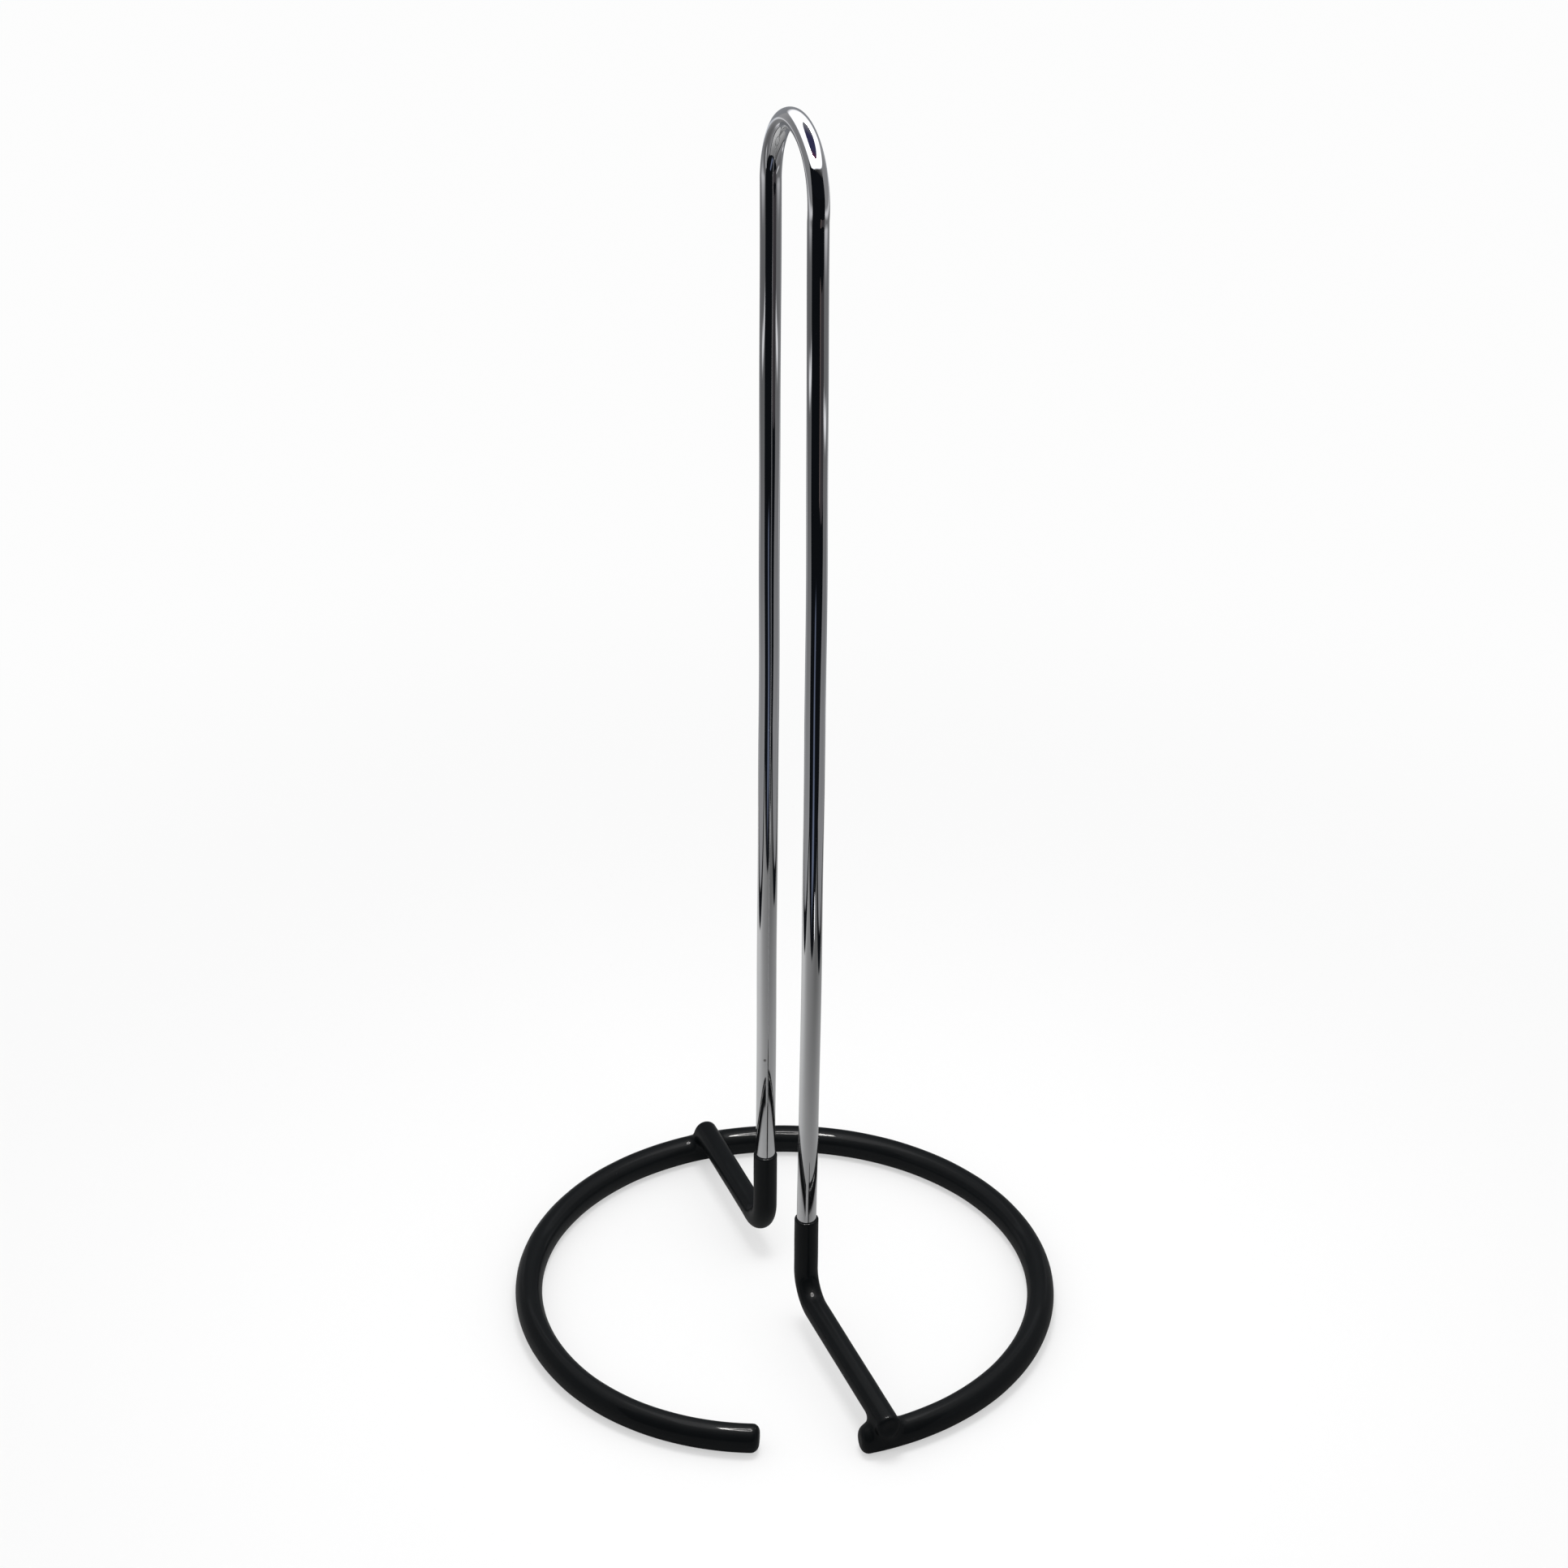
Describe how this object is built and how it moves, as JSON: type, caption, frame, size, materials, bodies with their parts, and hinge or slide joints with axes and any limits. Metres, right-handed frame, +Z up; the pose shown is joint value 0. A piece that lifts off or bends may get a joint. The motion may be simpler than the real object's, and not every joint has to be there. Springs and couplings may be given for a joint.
{
  "type": "wire post stand",
  "caption": "Free-standing wire stand: a tall chrome hairpin post on an open ring base, with black dip-coated vinyl over the ring, the feet and the leg ends.",
  "frame": {"origin": "middle of the footprint, on the resting plane", "axes": "+Z up along the post; the hairpin and both feet lie in a plane parallel to YZ, with the longer foot and the ring's gap towards -Y; +X to the right when looking along +Y"},
  "size_m": [0.1402, 0.1412, 0.3227],
  "materials": {
    "chrome_plate": "bright mirror plating on drawn steel wire",
    "ring_steel": "plain drawn wire, hidden under the skin",
    "weld_steel": "dull fused steel, hidden under the skin",
    "vinyl_skin": "glossy black dip-coated plasticised vinyl with slight orange peel"
  },
  "bodies": {
    "root": {"hairpin_post": "chrome_plate", "base_ring": "ring_steel", "front_weld": "weld_steel", "rear_weld": "weld_steel", "dip_coat": "vinyl_skin"}
  },
  "joints": []
}
